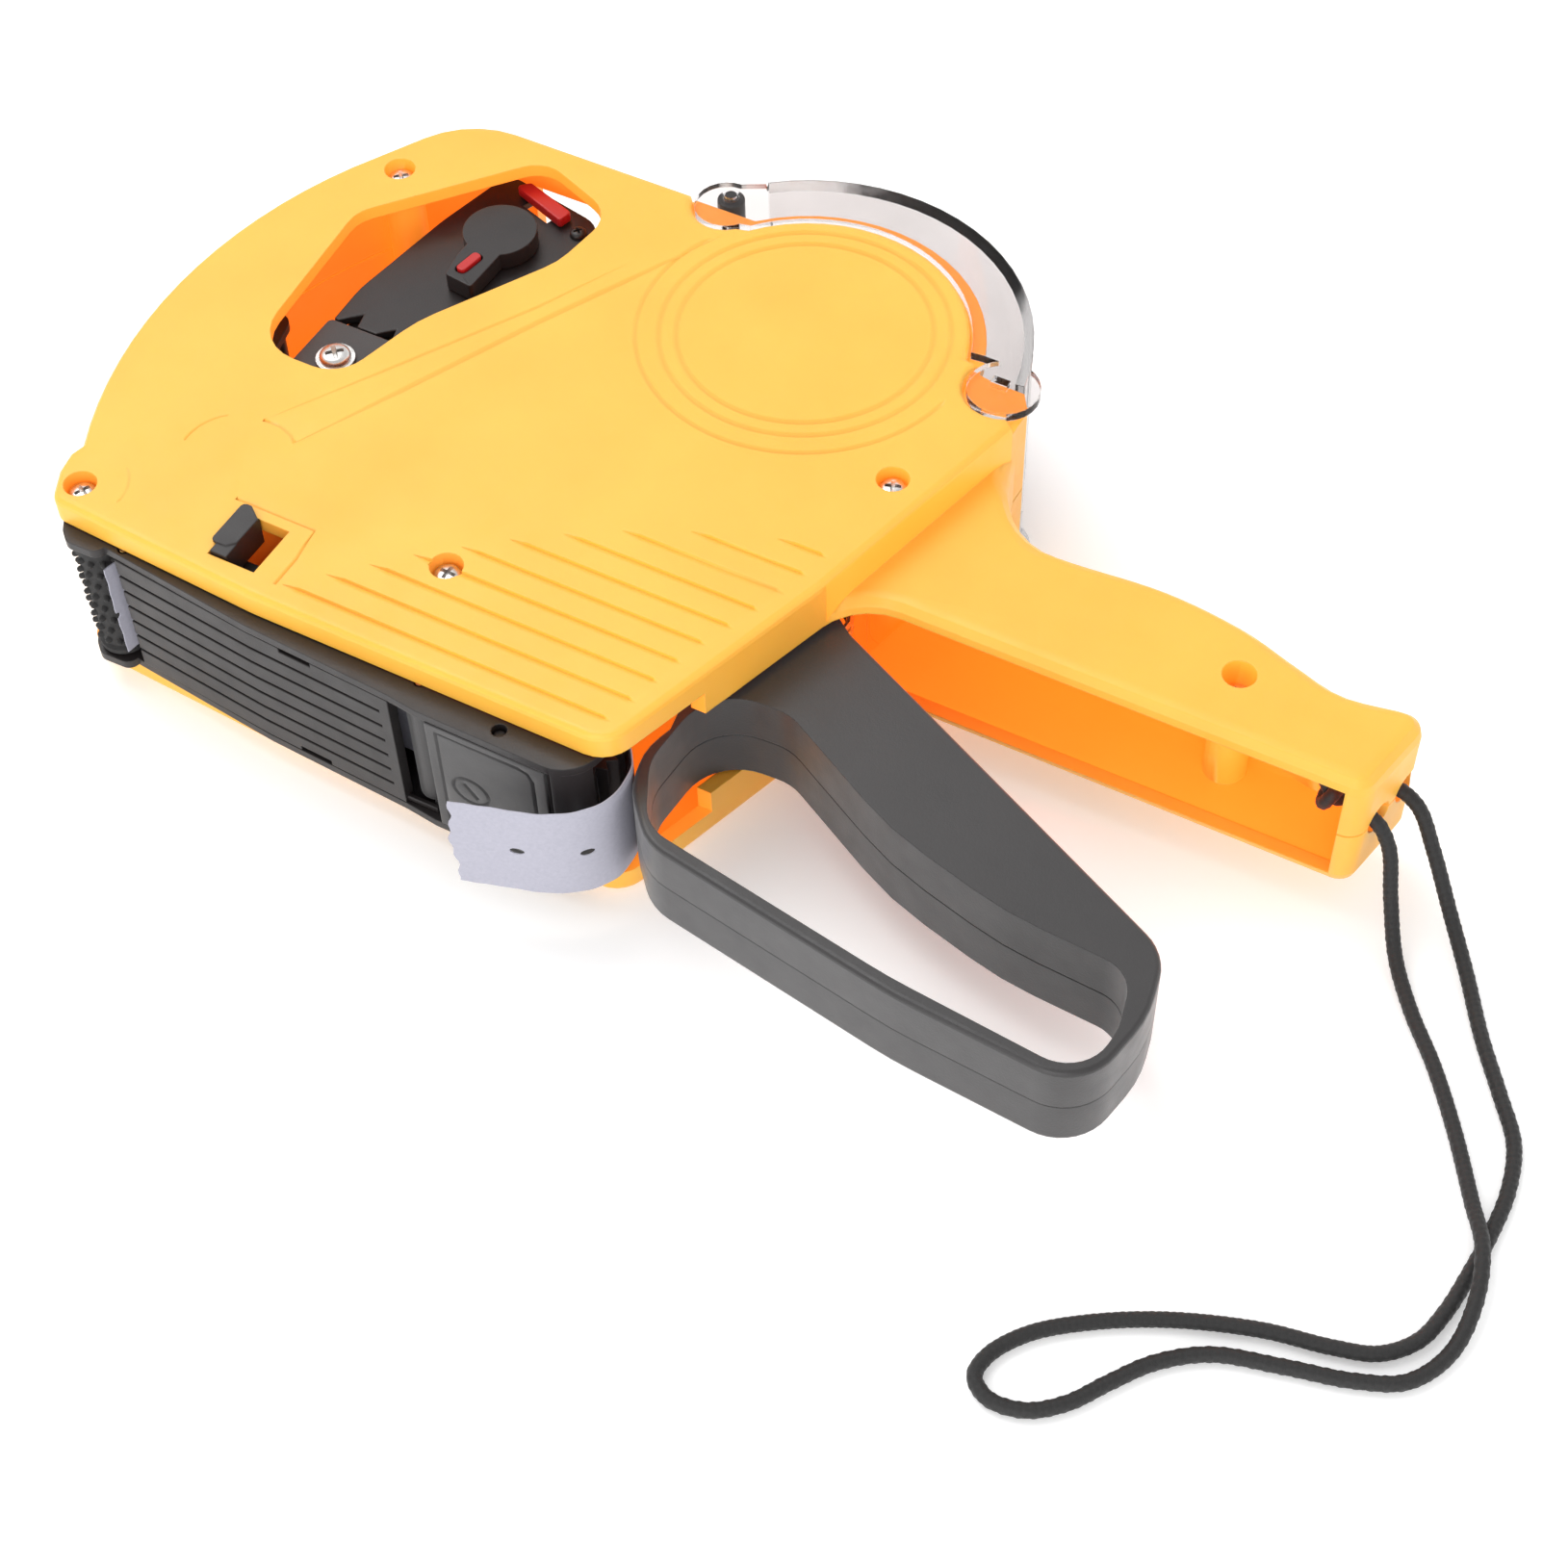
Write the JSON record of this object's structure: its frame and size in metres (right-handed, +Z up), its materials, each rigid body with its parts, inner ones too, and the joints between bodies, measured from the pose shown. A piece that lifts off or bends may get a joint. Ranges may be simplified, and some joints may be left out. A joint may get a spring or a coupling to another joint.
{
  "type": "price labeling gun",
  "caption": "Hand-held price labeling gun on its side: squeeze lever, print head behind a window, label roll under a clear cover, base cover and wrist lanyard.",
  "frame": {"origin": "middle of the underside of the gun's box, measured without the lanyard, on the surface the gun lies on", "axes": "+X from the nose to the handle's end, +Y from the base towards the label roll's cover, +Z up through the gun's thickness"},
  "size_m": [0.2677, 0.1856, 0.0409],
  "materials": {
    "shell_plastic": "satin yellow, fine grain",
    "black_plastic": "satin black",
    "soft_rubber": "matte",
    "red_plastic": "satin red",
    "screw_steel": "bright zinc",
    "label_paper": "semi-matte",
    "core_card": "matte",
    "smoke_clear": "smoky clear",
    "cord_braid": "black braid"
  },
  "bodies": {
    "gun": {"upper_shell": "shell_plastic", "lower_shell": "shell_plastic", "shell_screw_1": "screw_steel", "shell_screw_2": "screw_steel", "shell_screw_3": "screw_steel", "shell_screw_4": "screw_steel", "shell_screw_5": "screw_steel", "base_frame": "black_plastic", "peel_bar": "screw_steel", "base_cover_pin": "screw_steel", "base_latch_pin": "screw_steel", "guide_roller_axle": "screw_steel", "applicator_axle": "screw_steel", "feed_axle": "screw_steel", "roll_hub": "black_plastic", "label_strip": "label_paper", "backing_strip": "label_paper", "cover_spindle": "black_plastic", "lever_pin": "screw_steel", "ink_holder_pin": "screw_steel", "return_spring": "screw_steel", "lanyard": "cord_braid", "lanyard_knot": "cord_braid"},
    "label_reel": {"label_roll": "label_paper", "roll_core": "core_card"},
    "clear_cover": {"roll_cover": "smoke_clear"},
    "lever": {"squeeze_lever": "black_plastic", "head_plate_upper": "black_plastic", "head_plate_lower": "black_plastic", "head_block": "black_plastic", "type_band_1": "soft_rubber", "type_band_2": "soft_rubber", "type_band_3": "soft_rubber", "type_band_4": "soft_rubber", "type_band_5": "soft_rubber", "type_band_6": "soft_rubber", "head_washer": "screw_steel", "head_screw_main": "screw_steel", "head_rivet": "screw_steel", "head_screw_small": "black_plastic"},
    "selector_carriage": {"selector_shaft": "screw_steel"},
    "selector": {"selector_knob": "black_plastic", "selector_pointer": "red_plastic"},
    "lock": {"lock_slider": "red_plastic"},
    "ink_carrier": {"ink_holder": "black_plastic", "ink_axle": "screw_steel"},
    "ink_drum": {"ink_roller": "soft_rubber"},
    "base_door": {"base_cover": "black_plastic"},
    "latch": {"base_latch": "black_plastic"},
    "applicator": {"applicator_roller": "soft_rubber"},
    "guide": {"guide_roller": "soft_rubber"},
    "feeder": {"feed_wheel": "black_plastic"},
    "catch": {"slot_catch": "black_plastic"}
  },
  "joints": [
    {"name": "lever_squeeze", "type": "hinge", "parent": "gun", "child": "lever", "pos_m": [0.01504, -0.00912, 0.02], "axis": [0, 0, 1], "range_deg": [0, 15.8], "stiffness_Nm_per_rad": 1.2, "springref_deg": -5.73},
    {"name": "selector_pull", "type": "slide", "parent": "lever", "child": "selector_carriage", "axis": [0, 0, 1], "range_m": [0, 0.012]},
    {"name": "selector_turn", "type": "hinge", "parent": "selector_carriage", "child": "selector", "pos_m": [-0.07236, 0.03598, 0.035], "axis": [0, 0, 1], "range_deg": [-50, 50]},
    {"name": "lock_slide", "type": "slide", "parent": "lever", "child": "lock", "axis": [0.9478, -0.319, 0], "range_m": [-0.003, 0]},
    {"name": "ink_holder_swing", "type": "hinge", "parent": "gun", "child": "ink_carrier", "pos_m": [-0.09996, 0.00188, 0.02], "axis": [0, 0, -1], "range_deg": [0, 11.85]},
    {"name": "ink_roller_spin", "type": "hinge", "parent": "ink_carrier", "child": "ink_drum", "pos_m": [-0.09346, -0.02662, 0.02], "axis": [0, 0, 1], "continuous": true},
    {"name": "feed_wheel_spin", "type": "hinge", "parent": "gun", "child": "feeder", "pos_m": [-0.00246, -0.05262, 0.02], "axis": [0, 0, 1], "continuous": true},
    {"name": "label_roll_spin", "type": "hinge", "parent": "gun", "child": "label_reel", "pos_m": [-0.00996, 0.03488, 0.02], "axis": [0, 0, 1], "continuous": true},
    {"name": "guide_roller_spin", "type": "hinge", "parent": "gun", "child": "guide", "pos_m": [-0.02846, -0.05792, 0.02], "axis": [0, 0, 1], "continuous": true},
    {"name": "applicator_spin", "type": "hinge", "parent": "gun", "child": "applicator", "pos_m": [-0.09436, -0.05492, 0.02], "axis": [0, 0, 1], "continuous": true},
    {"name": "roll_cover_open", "type": "hinge", "parent": "gun", "child": "clear_cover", "pos_m": [-0.03856, 0.06018, 0.02], "axis": [0, 0, 1], "range_deg": [0, 95]},
    {"name": "base_cover_open", "type": "hinge", "parent": "gun", "child": "base_door", "pos_m": [-0.08686, -0.05672, 0.02], "axis": [0, 0, -1], "range_deg": [0, 70]},
    {"name": "base_latch_press", "type": "hinge", "parent": "gun", "child": "latch", "pos_m": [-0.01226, -0.06052, 0.02], "axis": [0, 0, -1], "range_deg": [0, 6], "stiffness_Nm_per_rad": 0.05, "springref_deg": -2.86},
    {"name": "slot_catch_slide", "type": "slide", "parent": "gun", "child": "catch", "axis": [1, 0, 0], "range_m": [0, 0.0045]}
  ],
  "couplings": [
    {"joint": "ink_holder_swing", "follows": "lever_squeeze", "ratio": 0.75},
    {"joint": "guide_roller_spin", "follows": "feed_wheel_spin", "ratio": 2.13},
    {"joint": "label_roll_spin", "follows": "feed_wheel_spin", "ratio": -0.25}
  ]
}
